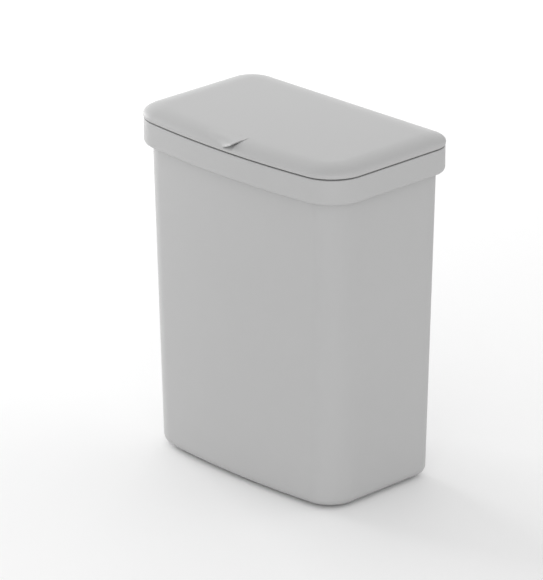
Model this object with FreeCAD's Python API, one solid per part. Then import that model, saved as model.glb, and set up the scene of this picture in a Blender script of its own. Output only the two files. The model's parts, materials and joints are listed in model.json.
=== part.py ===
import FreeCAD, Part

import math
import os

from FreeCAD import Vector

# Plan outline at the collar: flat back, straight sides, bowed front
COLLAR_WIDTH = 249.2
COLLAR_DEPTH = 155.2
FRONT_BOW = 9.6
FRONT_CORNER_R = 33.6
BACK_CORNER_R = 23.6

# Heights
FOOT_STAND = 2.0
BUCKET_HEIGHT = 299.8
FRAME_FLANGE = 3.2
SEAM_GAP = 1.2
LID_LIP_HEIGHT = 2.4
PILLOW_RISE = 6.4

# Bucket
BUCKET_WALL = 2.5
BUCKET_FLOOR = 3.0
RIM_INSET = 7.4
DRAFT_INSET = 5.0
BASE_FRONT_CORNER_EXTRA = 7.7
BASE_BACK_CORNER_EXTRA = 4.1
BASE_EDGE_R = 9.0
INNER_FLOOR_R = 6.5

# Feet
FOOT_R = 9.0
FOOT_RECESS = 1.2
FOOT_CLEARANCE = 0.02
FOOT_EDGE_INSET = 26.0
FOOT_CHAMFER = 0.8

# Top frame, the collar that hangs over the bucket's rim
COLLAR_HEIGHT = 23.0
COLLAR_WALL = 2.4
COLLAR_EDGE_R = 4.2
COLLAR_TOP_R = 0.8
HOOK_CLEARANCE = 0.7
SKIRT_WALL = 2.0
SKIRT_CLEARANCE = 0.4
SKIRT_LENGTH = 18.8

# Hinge
HINGE_SPACING = 110.0
HINGE_SETBACK = 11.4
HINGE_DROP = 10.4
LUG_R = 7.0
LUG_THICKNESS = 4.0
LUG_ROOT_DROP = 16.0
LUG_ROOT_TOP = 2.0
LUG_ROOT_SINK = 1.2
KNUCKLE_WIDTH = 18.0
KNUCKLE_SIDE_CLEARANCE = 0.4
KNUCKLE_R = 6.4
PIN_R = 2.5
PIN_HEAD_R = 4.0
PIN_HEAD_THICKNESS = 1.4
PIN_SEAT_CLEARANCE = 0.02
PIN_RUNNING_CLEARANCE = 0.06
LID_OPEN_ANGLE = 100.0
HEEL_WIDTH = 5.0
HEEL_STOP_CLEARANCE = 0.3

# Lid
LIP_PROUD = 0.4
LIP_EDGE_R = 1.0
PILLOW_EDGE = 22.5
LID_WALL = 2.4
PILLOW_SECTIONS = 7
ARM_ROOT_INSET = 5.0
ARM_CLEARANCE = 0.6

# Finger pull: a flap that lifts off the pillow's front edge towards one end
FLAP_START_X = -34.0
FLAP_LIFT_X = -10.0
FLAP_END_X = 10.0
FLAP_RISE = 5.8
FLAP_THICKNESS = 0.9
FLAP_SINK = 0.1
FLAP_SECTIONS = 9
# Powers of the curves: how long the flap stays level before it drops, at its two ends, and how late it lifts
FLAP_SWELL = (2.8, 8.0)
FLAP_CURL = 1.8
POCKET_LENGTH = 9.0
POCKET_REAR_WALL = 2.0
RELIEF_WIDTH = 1.2
RELIEF_DEPTH = 1.0
RELIEF_SHARES = (0.1, 0.25, 0.5, 0.75)
RELIEF_FADE = 1.15

# Lid liner and seal
LINER_THICKNESS = 2.0
LINER_CLEARANCE = 0.3
SNAP_BEAD = 0.8
SNAP_BEAD_HEIGHT = 0.6
SEAL_INSET = 5.0
SEAL_WIDTH = 4.0
SEAL_GROOVE = 1.0
SEAL_REST_GAP = 0.2

# Levels that follow from the heights
BASE_Z = FOOT_STAND
RIM_Z = BASE_Z + BUCKET_HEIGHT
FRAME_TOP_Z = RIM_Z + FRAME_FLANGE
COLLAR_BOTTOM_Z = FRAME_TOP_Z - COLLAR_HEIGHT
LID_BOTTOM_Z = FRAME_TOP_Z + SEAM_GAP
LIP_TOP_Z = LID_BOTTOM_Z + LID_LIP_HEIGHT
LID_TOP_Z = LIP_TOP_Z + PILLOW_RISE
LINER_BOTTOM_Z = LID_BOTTOM_Z + SNAP_BEAD_HEIGHT
AXIS_Z = FRAME_TOP_Z - HINGE_DROP

# Depth positions, with the whole depth centred on the origin
OVERALL_DEPTH = LIP_PROUD + COLLAR_DEPTH + HINGE_SETBACK + LUG_R
FRONT_Y = LIP_PROUD - OVERALL_DEPTH / 2
BACK_Y = FRONT_Y + COLLAR_DEPTH
AXIS_Y = BACK_Y + HINGE_SETBACK
BOW_RADIUS = (COLLAR_WIDTH ** 2 / 4 + FRONT_BOW ** 2) / (2 * FRONT_BOW)
BOW_CENTRE_Y = FRONT_Y + BOW_RADIUS

# Insets of the fitted rings, measured inwards from the collar outline
SKIRT_BOTTOM_Z = RIM_Z - SKIRT_LENGTH
PILLOW_INSET = -LIP_PROUD
CAVITY_INSET = PILLOW_INSET + LID_WALL
OVERCUT = 5.0


def wall_inset(z):
    """Inset of the bucket's outer wall at a height, along its straight draft."""
    return RIM_INSET + DRAFT_INSET * (RIM_Z - z) / BUCKET_HEIGHT


SKIRT_INSET = wall_inset(SKIRT_BOTTOM_Z) + BUCKET_WALL + SKIRT_CLEARANCE
MOUTH_INSET = SKIRT_INSET + SKIRT_WALL
HOOK_INSET = wall_inset(RIM_Z) - HOOK_CLEARANCE


def front_y(x):
    """Depth position of the bowed front of the collar outline at one side position."""
    return BOW_CENTRE_Y - math.sqrt(BOW_RADIUS ** 2 - x ** 2)


def outline(inset, z, front_extra=0.0, back_extra=0.0):
    """Closed wire: the collar outline moved inwards by an inset, at a height."""
    half = COLLAR_WIDTH / 2 - inset
    bow = BOW_RADIUS - inset
    back = BACK_Y - inset
    front_r = FRONT_CORNER_R - inset + front_extra
    back_r = BACK_CORNER_R - inset + back_extra
    corner_x = half - front_r
    reach = bow - front_r
    corner_y = BOW_CENTRE_Y - math.sqrt(reach ** 2 - corner_x ** 2)
    tangent_x = corner_x * bow / reach
    tangent_y = BOW_CENTRE_Y + (corner_y - BOW_CENTRE_Y) * bow / reach
    turn = math.atan2(BOW_CENTRE_Y - corner_y, corner_x) / 2
    mid_x = corner_x + front_r * math.cos(turn)
    mid_y = corner_y - front_r * math.sin(turn)
    back_x = half - back_r
    back_mid_x = back_x + back_r * math.sqrt(0.5)
    back_mid_y = back - back_r + back_r * math.sqrt(0.5)

    def at(x, y):
        return Vector(x, y, z)

    edges = [
        Part.Arc(at(-tangent_x, tangent_y), at(0, BOW_CENTRE_Y - bow), at(tangent_x, tangent_y)),
        Part.Arc(at(tangent_x, tangent_y), at(mid_x, mid_y), at(half, corner_y)),
        Part.LineSegment(at(half, corner_y), at(half, back - back_r)),
        Part.Arc(at(half, back - back_r), at(back_mid_x, back_mid_y), at(back_x, back)),
        Part.LineSegment(at(back_x, back), at(-back_x, back)),
        Part.Arc(at(-back_x, back), at(-back_mid_x, back_mid_y), at(-half, back - back_r)),
        Part.LineSegment(at(-half, back - back_r), at(-half, corner_y)),
        Part.Arc(at(-half, corner_y), at(-mid_x, mid_y), at(-tangent_x, tangent_y)),
    ]
    return Part.Wire([edge.toShape() for edge in edges])


def prism(inset, low, high):
    """Solid of the inset outline between two heights."""
    return Part.Face(outline(inset, low)).extrude(Vector(0, 0, high - low))


def ring(outer_inset, inner_inset, low, high):
    """Closed band between two insets of the outline."""
    return prism(outer_inset, low, high).cut(prism(inner_inset, low - OVERCUT, high + OVERCUT))


def edges_at(solid, z):
    """Edges of a solid that lie flat at one height."""
    return [e for e in solid.Edges if all(abs(v.Z - z) < 1e-6 for v in e.Vertexes)]


def cylinder_x(radius, x0, x1):
    """Round bar on the hinge axis between two side positions."""
    return Part.makeCylinder(radius, x1 - x0, Vector(x0, AXIS_Y, AXIS_Z), Vector(1, 0, 0))


def plate_x(points, x0, x1):
    """Flat plate: a closed outline of depth and height points, thick from x0 to x1."""
    corners = [Vector(x0, y, z) for y, z in points]
    face = Part.Face(Part.makePolygon(corners + corners[:1]))
    return face.extrude(Vector(x1 - x0, 0, 0))


def tangent_points(y, z, radius, side):
    """Point where a line from (y, z) touches the circle of a radius round the hinge axis."""
    dy, dz = y - AXIS_Y, z - AXIS_Z
    angle = math.atan2(dz, dy) + side * math.acos(radius / math.hypot(dy, dz))
    return AXIS_Y + radius * math.cos(angle), AXIS_Z + radius * math.sin(angle)


def hinge_sides():
    """Name and centre of the two hinges."""
    return (("left", -HINGE_SPACING / 2), ("right", HINGE_SPACING / 2))


def lug_spans(centre):
    """Side positions of the two lugs that stand either side of a knuckle."""
    inner = KNUCKLE_WIDTH / 2 + KNUCKLE_SIDE_CLEARANCE
    outer = inner + LUG_THICKNESS
    return ((centre - outer, centre - inner), (centre + inner, centre + outer))


def foot_places():
    """Name and plan position of each foot under the base."""
    side = COLLAR_WIDTH / 2 - wall_inset(BASE_Z) - FOOT_EDGE_INSET
    front = FRONT_Y + FRONT_BOW + wall_inset(BASE_Z) + FOOT_EDGE_INSET
    rear = BACK_Y - wall_inset(BASE_Z) - FOOT_EDGE_INSET
    for depth_name, y in (("front", front), ("rear", rear)):
        for side_name, x in (("left", -side), ("right", side)):
            yield f"foot_{depth_name}_{side_name}", x, y


def tapered(extra_inset, low, high):
    """Tapered solid inside the bucket's outer wall by an inset, between two heights."""
    share_low = (RIM_Z - low) / BUCKET_HEIGHT
    share_high = (RIM_Z - high) / BUCKET_HEIGHT
    sections = [
        outline(
            wall_inset(z) + extra_inset, z,
            BASE_FRONT_CORNER_EXTRA * share, BASE_BACK_CORNER_EXTRA * share,
        )
        for z, share in ((low, share_low), (high, share_high))
    ]
    return Part.makeLoft(sections, True, True)


def make_bucket():
    """Tapered bucket with a flat rim and four shallow recesses for the feet."""
    outer = tapered(0.0, BASE_Z, RIM_Z)
    outer = outer.makeFillet(BASE_EDGE_R, edges_at(outer, BASE_Z))
    floor_z = BASE_Z + BUCKET_FLOOR
    inner = tapered(BUCKET_WALL, floor_z, RIM_Z + OVERCUT)
    inner = inner.makeFillet(INNER_FLOOR_R, edges_at(inner, floor_z))
    bucket = outer.cut(inner)
    for _, x, y in foot_places():
        bucket = bucket.cut(Part.makeCylinder(FOOT_R + FOOT_CLEARANCE, FOOT_RECESS, Vector(x, y, BASE_Z)))
    return bucket


def make_foot(x, y):
    """Soft round pad, pressed into its recess and standing proud of the base."""
    foot = Part.makeCylinder(FOOT_R, FOOT_STAND + FOOT_RECESS, Vector(x, y, 0))
    return foot.makeChamfer(FOOT_CHAMFER, edges_at(foot, 0.0))


def make_lug(x0, x1):
    """One hinge lug: a round eye on a root that widens towards the collar's back."""
    root_y = BACK_Y - LUG_ROOT_SINK
    top_z = FRAME_TOP_Z - LUG_ROOT_TOP
    low_z = AXIS_Z - LUG_ROOT_DROP / 2
    points = [
        (root_y, low_z),
        tangent_points(root_y, low_z, LUG_R, 1),
        (AXIS_Y, AXIS_Z),
        tangent_points(root_y, top_z, LUG_R, -1),
        (root_y, top_z),
    ]
    lug = plate_x(points, x0, x1).fuse(cylinder_x(LUG_R, x0, x1))
    return lug.cut(cylinder_x(PIN_R + PIN_SEAT_CLEARANCE, x0 - OVERCUT, x1 + OVERCUT))


def make_top_frame():
    """Collar with a rounded lower edge, an inner skirt and the hinge lugs on its back."""
    body = prism(0.0, COLLAR_BOTTOM_Z, FRAME_TOP_Z)
    body = body.makeFillet(COLLAR_EDGE_R, edges_at(body, COLLAR_BOTTOM_Z))
    body = body.makeFillet(COLLAR_TOP_R, edges_at(body, FRAME_TOP_Z))
    channel_z = COLLAR_BOTTOM_Z + COLLAR_WALL
    channel = prism(COLLAR_WALL, channel_z, RIM_Z)
    channel = channel.makeFillet(COLLAR_EDGE_R - COLLAR_WALL, edges_at(channel, channel_z))
    body = body.cut(channel)
    body = body.cut(prism(HOOK_INSET, COLLAR_BOTTOM_Z - OVERCUT, channel_z + OVERCUT))
    body = body.cut(prism(MOUTH_INSET, RIM_Z - OVERCUT, FRAME_TOP_Z + OVERCUT))
    body = body.fuse(ring(SKIRT_INSET, MOUTH_INSET, SKIRT_BOTTOM_Z, RIM_Z))
    for _, centre in hinge_sides():
        for x0, x1 in lug_spans(centre):
            body = body.fuse(make_lug(x0, x1))
    return body.removeSplitter()


def make_hinge_pin(centre):
    """Headed pin, tight in the two lugs and running free in the knuckle."""
    outward = math.copysign(1.0, centre)
    spans = lug_spans(centre)
    low, high = spans[0][0], spans[1][1]
    pin = cylinder_x(PIN_R, low, high)
    if outward > 0:
        return pin.fuse(cylinder_x(PIN_HEAD_R, high, high + PIN_HEAD_THICKNESS))
    return pin.fuse(cylinder_x(PIN_HEAD_R, low - PIN_HEAD_THICKNESS, low))


def pillow(edge_inset, edge_width, low, high):
    """Domed cap: its edge rises as a quarter ellipse from an outline to a flat top."""
    sections = []
    for step in range(PILLOW_SECTIONS):
        angle = math.pi / 2 * step / (PILLOW_SECTIONS - 1)
        inset = edge_inset + edge_width * (1 - math.cos(angle))
        sections.append(outline(inset, low + (high - low) * math.sin(angle)))
    return Part.makeLoft(sections, True, False)


def flap_section(x, drop, front_overhang, rear_wall, low):
    """Cross-section of the finger pull at a side position, lowered by a drop."""
    share = (x - FLAP_START_X) / (FLAP_END_X - FLAP_START_X)
    swell = FLAP_SWELL[0] + (FLAP_SWELL[1] - FLAP_SWELL[0]) * share
    lift = max(0.0, x - FLAP_LIFT_X) / (FLAP_END_X - FLAP_LIFT_X)
    fall = PILLOW_RISE - FLAP_RISE * lift ** FLAP_CURL
    length = PILLOW_INSET + PILLOW_EDGE
    rear = length - rear_wall

    def at(depth, z):
        return Vector(x, front_y(x) + depth, z)

    shares = [i / FLAP_SECTIONS for i in range(FLAP_SECTIONS + 1)]
    top = []
    for forward in shares:
        depth = rear * (1 - forward)
        top.append(at(depth, LID_TOP_Z - FLAP_SINK - drop - fall * (1 - depth / length) ** swell))
    crown = Part.BSplineCurve()
    crown.interpolate(Points=top, Parameters=shares)
    corners = [top[-1], at(-front_overhang, low), at(rear, low), top[0]]
    if front_overhang:
        corners.insert(1, at(-front_overhang, top[-1].z))
    sides = [Part.LineSegment(a, b) for a, b in zip(corners, corners[1:])]
    return Part.Wire([edge.toShape() for edge in [crown] + sides])


def stations(start, end):
    """Side positions of the finger pull's cross-sections."""
    return [start + (end - start) * i / (FLAP_SECTIONS - 1) for i in range(FLAP_SECTIONS)]


def make_flap():
    """Finger pull: a thin flap over the pillow's front edge, open below at its high end."""
    low = LID_BOTTOM_Z + LID_LIP_HEIGHT / 2
    wedge = Part.makeLoft(
        [flap_section(x, 0.0, 0.0, 0.0, low) for x in stations(FLAP_START_X, FLAP_END_X)], True, False
    )
    pocket = Part.makeLoft(
        [
            flap_section(x, FLAP_THICKNESS, LIP_PROUD, POCKET_REAR_WALL, LIP_TOP_Z)
            for x in stations(FLAP_END_X - POCKET_LENGTH, FLAP_END_X + FLAP_THICKNESS)
        ],
        True, False,
    )
    return wedge.cut(pocket)


def pillow_height(depth):
    """Height of the pillow's surface at a depth behind the collar's front."""
    share = (PILLOW_EDGE + PILLOW_INSET - depth) / PILLOW_EDGE
    return LIP_TOP_Z + PILLOW_RISE * math.sqrt(max(0.0, 1 - share ** 2))


def make_relief():
    """Shallow hollow in the pillow, under the flap's high end and just past it."""
    front = front_y(FLAP_END_X)
    length = PILLOW_INSET + PILLOW_EDGE
    floor = [(front - OVERCUT, LIP_TOP_Z), (front + PILLOW_INSET, LIP_TOP_Z)]
    for share in RELIEF_SHARES:
        depth = PILLOW_INSET + PILLOW_EDGE * share
        floor.append((front + depth, pillow_height(depth) - RELIEF_DEPTH * (RELIEF_FADE - share)))
    floor.append((front + length, LID_TOP_Z))
    points = floor + [(front + length, LID_TOP_Z + OVERCUT), (front - OVERCUT, LID_TOP_Z + OVERCUT)]
    return plate_x(points, FLAP_END_X - POCKET_LENGTH, FLAP_END_X + RELIEF_WIDTH)


def make_arm(centre):
    """Hinge arm: from the lid's back edge down to a knuckle with a stop heel."""
    x0 = centre - KNUCKLE_WIDTH / 2
    x1 = centre + KNUCKLE_WIDTH / 2
    near_y = BACK_Y + ARM_CLEARANCE
    root_y = BACK_Y - ARM_ROOT_INSET
    points = [
        (root_y, LID_BOTTOM_Z),
        (near_y, LID_BOTTOM_Z),
        tangent_points(near_y, LID_BOTTOM_Z, KNUCKLE_R, 1),
        (AXIS_Y, AXIS_Z),
        tangent_points(near_y, LIP_TOP_Z, KNUCKLE_R, -1),
        (near_y, LIP_TOP_Z),
        (root_y, LIP_TOP_Z),
    ]
    arm = plate_x(points, x0, x1).fuse(cylinder_x(KNUCKLE_R, x0, x1))
    reach = HINGE_SETBACK - HEEL_STOP_CLEARANCE
    heel = Part.makeBox(
        KNUCKLE_WIDTH, reach, HEEL_WIDTH, Vector(x0, AXIS_Y - reach, AXIS_Z - HEEL_WIDTH / 2)
    )
    heel.rotate(Vector(0, AXIS_Y, AXIS_Z), Vector(1, 0, 0), LID_OPEN_ANGLE)
    return arm.fuse(heel)


def make_lid_shell():
    """Pillow-shaped lid on a low upright lip, hinge arms behind and a finger pull in front."""
    lip = prism(-LIP_PROUD, LID_BOTTOM_Z, LIP_TOP_Z)
    lip = lip.makeFillet(LIP_EDGE_R, edges_at(lip, LID_BOTTOM_Z))
    body = lip.fuse(pillow(PILLOW_INSET, PILLOW_EDGE, LIP_TOP_Z, LID_TOP_Z))
    body = body.cut(make_relief()).fuse(make_flap())
    for _, centre in hinge_sides():
        body = body.fuse(make_arm(centre))
    liner_top = LINER_BOTTOM_Z + LINER_THICKNESS
    body = body.cut(prism(CAVITY_INSET, LINER_BOTTOM_Z, liner_top))
    body = body.cut(prism(CAVITY_INSET + SNAP_BEAD, LID_BOTTOM_Z - OVERCUT, LINER_BOTTOM_Z))
    body = body.cut(pillow(CAVITY_INSET, PILLOW_EDGE - LID_WALL, liner_top, LID_TOP_Z - LID_WALL))
    for _, centre in hinge_sides():
        half = KNUCKLE_WIDTH / 2 + OVERCUT
        body = body.cut(cylinder_x(PIN_R + PIN_RUNNING_CLEARANCE, centre - half, centre + half))
    return body.removeSplitter()


def make_lid_liner():
    """Flat inner panel that snaps into the lid and closes its hollow, grooved for the seal."""
    liner = prism(CAVITY_INSET + LINER_CLEARANCE, LINER_BOTTOM_Z, LINER_BOTTOM_Z + LINER_THICKNESS)
    groove = ring(SEAL_INSET, SEAL_INSET + SEAL_WIDTH, LINER_BOTTOM_Z - OVERCUT, LINER_BOTTOM_Z + SEAL_GROOVE)
    return liner.cut(groove)


def make_lid_seal():
    """Soft ring seated in the liner's groove, just clear of the frame's top face."""
    low = FRAME_TOP_Z + SEAL_REST_GAP
    return ring(SEAL_INSET, SEAL_INSET + SEAL_WIDTH, low, LINER_BOTTOM_Z + SEAL_GROOVE)


def make_pieces():
    """Every piece of the bin by name."""
    pieces = {
        "bucket": make_bucket(),
        "top_frame": make_top_frame(),
        "lid_shell": make_lid_shell(),
        "lid_liner": make_lid_liner(),
        "lid_seal": make_lid_seal(),
    }
    for name, x, y in foot_places():
        pieces[name] = make_foot(x, y)
    for side, centre in hinge_sides():
        pieces[f"hinge_pin_{side}"] = make_hinge_pin(centre)
    return pieces


def main():
    """Build every piece, report its size and write it to its own file."""
    os.makedirs("parts", exist_ok=True)
    for name, shape in make_pieces().items():
        box = shape.optimalBoundingBox(False, False)
        print(
            f"{name}: {len(shape.Solids)} solid, valid {shape.isValid()}, {shape.Volume / 1000:.2f} cm3, "
            f"x {box.XMin:.2f} {box.XMax:.2f}, y {box.YMin:.2f} {box.YMax:.2f}, z {box.ZMin:.2f} {box.ZMax:.2f}"
        )
        shape.exportStep(f"parts/{name}.step")


main()
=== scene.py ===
# %% [markdown]
# # A slim kitchen bin
# The bin is a tapered plastic bucket, a collar frame that sits over its rim and a low pillow lid on two
# rear hinges. All of it is one grey satin plastic, so the picture lives on clean rounded edges, a dark
# line between lid and collar, and soft light. We load the measured construction first: every mesh below
# takes its place from it, so nothing has to be fitted afterwards.

# %% Load the frame
import json
import math

import bmesh
import bpy
import numpy as np
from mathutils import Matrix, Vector


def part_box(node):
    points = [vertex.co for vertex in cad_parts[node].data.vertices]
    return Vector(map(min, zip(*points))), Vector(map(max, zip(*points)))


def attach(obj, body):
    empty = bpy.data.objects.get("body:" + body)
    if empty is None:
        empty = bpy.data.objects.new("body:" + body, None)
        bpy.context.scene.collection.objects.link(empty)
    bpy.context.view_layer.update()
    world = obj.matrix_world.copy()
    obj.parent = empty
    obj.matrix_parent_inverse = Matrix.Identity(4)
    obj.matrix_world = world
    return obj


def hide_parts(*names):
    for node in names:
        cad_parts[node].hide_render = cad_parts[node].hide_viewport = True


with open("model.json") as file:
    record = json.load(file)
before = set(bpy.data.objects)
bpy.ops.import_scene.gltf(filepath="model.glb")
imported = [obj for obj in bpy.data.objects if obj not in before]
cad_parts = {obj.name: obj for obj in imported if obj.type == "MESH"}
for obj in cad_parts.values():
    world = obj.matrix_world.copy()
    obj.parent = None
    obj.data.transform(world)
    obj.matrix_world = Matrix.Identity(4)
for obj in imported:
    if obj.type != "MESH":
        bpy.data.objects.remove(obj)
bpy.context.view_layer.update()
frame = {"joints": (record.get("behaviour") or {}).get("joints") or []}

# %% [markdown]
# ## Sizes
# We think in millimetres, as a mould maker does, and convert to Blender's metres when a mesh is made.
# Widths and heights are read from the loaded pieces. The few radii that a box can't tell are written
# once, here or beside the piece that needs them.

# %% Sizes read from the frame, in millimetres
MM = 0.001


def box_mm(node):
    """Lowest and highest corner of a construction piece, in millimetres."""
    low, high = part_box(node)
    return low / MM, high / MM


frame_low, frame_high = box_mm("top_frame")
lid_high = box_mm("lid_shell")[1]
bucket_low, bucket_high = box_mm("bucket")
liner_low, liner_high = box_mm("lid_liner")
seal_low, seal_high = box_mm("lid_seal")
hinge = next(j for j in frame["joints"] if j["name"] == "lid_hinge")
AXIS_Y, AXIS_Z = (v / MM for v in hinge["pos_m"][1:])

COLLAR_HALF = frame_high.x
FRONT_Y = frame_low.y
COLLAR_DEPTH = 155.2
BACK_Y = FRONT_Y + COLLAR_DEPTH
FRONT_BOW = 9.6
FRONT_CORNER_R = 33.6
BACK_CORNER_R = 23.6
BOW_R = (COLLAR_HALF ** 2 + FRONT_BOW ** 2) / (2 * FRONT_BOW)
BOW_Y = FRONT_Y + BOW_R

BASE_Z, RIM_Z = bucket_low.z, bucket_high.z
COLLAR_BOTTOM_Z, COLLAR_TOP_Z = frame_low.z, frame_high.z
LID_TOP_Z = lid_high.z
LIP_PROUD = lid_high.x - COLLAR_HALF
print(f"collar {2 * COLLAR_HALF:.1f} wide, lid top {LID_TOP_Z:.1f}, hinge at {AXIS_Y:.1f}, {AXIS_Z:.1f}")

# %% [markdown]
# ## Wires
# Node trees are easier to read as sums than as clicks. A `Wire` holds one output socket: adding or
# scaling it makes a Math node, and `add` makes any other node from its type, its settings and what goes
# into its sockets. Shader trees and geometry trees both accept it.

# %% A socket that behaves like a number
class Wire:
    """One output of a node, usable in sums like a plain number."""

    def __init__(self, tree, socket):
        self.tree, self.socket = tree, socket

    def add(self, kind, settings=None, sockets=None, output=0):
        """New node: settings first, then values or wires for its sockets; returns one of its outputs."""
        node = self.tree.nodes.new(kind)
        for name, value in (settings or {}).items():
            setattr(node, name, value)
        for key, value in (sockets or {}).items():
            if isinstance(value, Wire):
                self.tree.links.new(value.socket, node.inputs[key])
            else:
                node.inputs[key].default_value = value
        return Wire(self.tree, node.outputs[output])

    def math(self, operation, *terms):
        return self.add("ShaderNodeMath", {"operation": operation}, dict(enumerate(terms)))

    def __add__(self, other):
        return self.math("ADD", self, other)

    def __radd__(self, other):
        return self.math("ADD", other, self)

    def __sub__(self, other):
        return self.math("SUBTRACT", self, other)

    def __rsub__(self, other):
        return self.math("SUBTRACT", other, self)

    def __mul__(self, other):
        return self.math("MULTIPLY", self, other)

    def __rmul__(self, other):
        return self.math("MULTIPLY", other, self)

    def __truediv__(self, other):
        return self.math("DIVIDE", self, other)

    def __rtruediv__(self, other):
        return self.math("DIVIDE", other, self)


print("wires ready")

# %% [markdown]
# ## What every finish needs
# Each finish is one Principled shader with a few noises before it. We could click these together seven
# times, but five small helpers say the same in a line each: a new material, its sockets, a grey between
# two greys, a noise and a bump. Heights for the bump are in millimetres, like everything else here.

# %% Finish helpers
def new_finish(name):
    """Empty material with a Principled shader; returns it with its tree and that shader."""
    finish = bpy.data.materials.new(name)
    finish.use_nodes = True
    shader = next(n for n in finish.node_tree.nodes if n.type == "BSDF_PRINCIPLED")
    return finish, Wire(finish.node_tree, None), shader


def feed(wire, shader, **inputs):
    """Link wires to a shader's sockets, or set plain values there; underscores stand for spaces."""
    for name, value in inputs.items():
        socket = shader.inputs[name.replace("_", " ")]
        if isinstance(value, Wire):
            wire.tree.links.new(value.socket, socket)
        else:
            socket.default_value = value


def grey_mix(wire, share, dark, light):
    """Colour between two greys, by a share."""
    return wire.add(
        "ShaderNodeMix", {"data_type": "RGBA"},
        {0: share, 6: (dark, dark, dark, 1), 7: (light, light, light, 1)}, output=2,
    )


def noise(wire, place, scale, detail):
    """Soft noise from 0 to 1; a larger scale makes it finer."""
    return wire.add("ShaderNodeTexNoise", None, {"Vector": place, "Scale": scale, "Detail": detail})


def bump(wire, height, strength):
    """Normal that follows a height in millimetres."""
    return wire.add("ShaderNodeBump", None, {"Strength": strength, "Distance": MM, "Height": height})


print("finish helpers ready")

# %% [markdown]
# ## The satin plastic
# Bucket, collar and lid are polypropylene from textured moulds: neutral grey, neither glossy nor chalky.
# Up close such a skin has a grain of fine pits, and its tone drifts a little where the melt flowed and
# cooled. We could paint it one grey, but then every close view looks like clay. So a slow noise moves
# tone and roughness by a few hundredths, and a fine noise gives the grain through a Bump node.

# %% Satin plastic
PLASTIC_TONE, LINER_LIGHTER = 0.47, 1.06
TONE_SWING, GLOSS_SWING = 0.035, 0.06
FLOW_SCALE, CLOUD_SCALE, PIT_SCALE = 7.0, 60.0, 1100.0
CLOUD_DEPTH = 0.02


def satin_plastic(name, tone, gloss=0.5, grain_depth=0.012):
    """Moulded plastic with a fine grain; tone is its linear grey, gloss its mean roughness."""
    finish, wire, shader = new_finish(name)
    place = wire.add("ShaderNodeTexCoord", output="Object")
    flow = noise(wire, place, FLOW_SCALE, detail=3.0)
    cloud = noise(wire, place, CLOUD_SCALE, detail=2.0)
    pits = noise(wire, place, PIT_SCALE, detail=2.0)
    drift = flow * 0.6 + cloud * 0.25 + pits * 0.15
    grain = pits * grain_depth + cloud * CLOUD_DEPTH
    feed(
        wire, shader,
        Base_Color=grey_mix(wire, drift, tone * (1 - TONE_SWING), tone * (1 + TONE_SWING)),
        Roughness=gloss - GLOSS_SWING + drift * (2 * GLOSS_SWING),
        Normal=bump(wire, grain, strength=0.35),
        Specular_IOR_Level=0.42,
    )
    return finish


bucket_finish = satin_plastic("satin_bucket_plastic", PLASTIC_TONE)
frame_finish = satin_plastic("satin_frame_plastic", PLASTIC_TONE)
lid_finish = satin_plastic("satin_lid_plastic", PLASTIC_TONE)
liner_finish = satin_plastic(
    "smooth_liner_plastic", PLASTIC_TONE * LINER_LIGHTER, gloss=0.4, grain_depth=0.006
)
print("plastic", [m.name for m in (bucket_finish, frame_finish, lid_finish, liner_finish)])

# %% [markdown]
# ## Rubber and steel
# The seal under the lid and the four feet are dark soft rubber: matt, faintly dusty, with a skin that is
# never quite even. The hinge pins are drawn steel wire. Drawing leaves hair lines along the pin, so the
# noise for its roughness is stretched along X.

# %% Rubber and steel
SEAL_TONE, FOOT_TONE = 0.035, 0.028
DUST_SCALE, SKIN_SCALE, SKIN_DEPTH = 160.0, 1400.0, 0.03
HAIR_SCALE, HAIR_DEPTH = (30.0, 2400.0, 2400.0), 0.01
STEEL_DARK, STEEL_LIGHT = 0.48, 0.62


def soft_rubber(name, tone):
    """Dark elastomer with a dusty, uneven skin."""
    finish, wire, shader = new_finish(name)
    place = wire.add("ShaderNodeTexCoord", output="Object")
    dust = noise(wire, place, DUST_SCALE, detail=4.0)
    skin = noise(wire, place, SKIN_SCALE, detail=2.0)
    feed(
        wire, shader,
        Base_Color=grey_mix(wire, dust * 0.8 + skin * 0.2, tone * 0.7, tone * 1.5),
        Roughness=0.62 + dust * 0.22,
        Normal=bump(wire, skin * SKIN_DEPTH, strength=0.4),
        Specular_IOR_Level=0.35,
    )
    return finish


def drawn_steel(name):
    """Bright steel with hair lines along X."""
    finish, wire, shader = new_finish(name)
    place = wire.add("ShaderNodeTexCoord", output="Object")
    along = wire.add("ShaderNodeMapping", None, {"Vector": place, "Scale": HAIR_SCALE})
    hair = noise(wire, along, 1.0, detail=3.0)
    feed(
        wire, shader,
        Base_Color=grey_mix(wire, hair, STEEL_DARK, STEEL_LIGHT),
        Roughness=0.22 + hair * 0.2,
        Normal=bump(wire, hair * HAIR_DEPTH, strength=0.25),
        Metallic=1.0,
    )
    return finish


seal_finish = soft_rubber("soft_seal_rubber", SEAL_TONE)
foot_finish = soft_rubber("soft_foot_rubber", FOOT_TONE)
pin_finish = drawn_steel("drawn_pin_steel")
print("rubber and steel", [m.name for m in (seal_finish, foot_finish, pin_finish)])

# %% [markdown]
# ## One outline for everything
# Seen from above, the bin is a rounded box with a bowed front. Bucket, collar, lid and seal all follow
# that outline at different insets, so it is worth writing once, as a formula: an arc, two corners, two
# sides, two tighter corners and a flat back. The bucket's corners grow a little rounder towards its
# base, and `base_share` says how far down we are.

# %% The outline as a formula
FRONT_STEPS, FRONT_CORNER_STEPS = 96, 28
SIDE_STEPS, BACK_CORNER_STEPS, BACK_STEPS = 24, 24, 48
BASE_FRONT_EXTRA, BASE_BACK_EXTRA = 7.7, 4.1


def round_stretch(cx, cy, radius, start, end, steps):
    """Points on an arc, the last one left out so that the next stretch can start there."""
    turns = np.linspace(start, end, steps, endpoint=False)
    return np.column_stack((cx + radius * np.cos(turns), cy + radius * np.sin(turns)))


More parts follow.
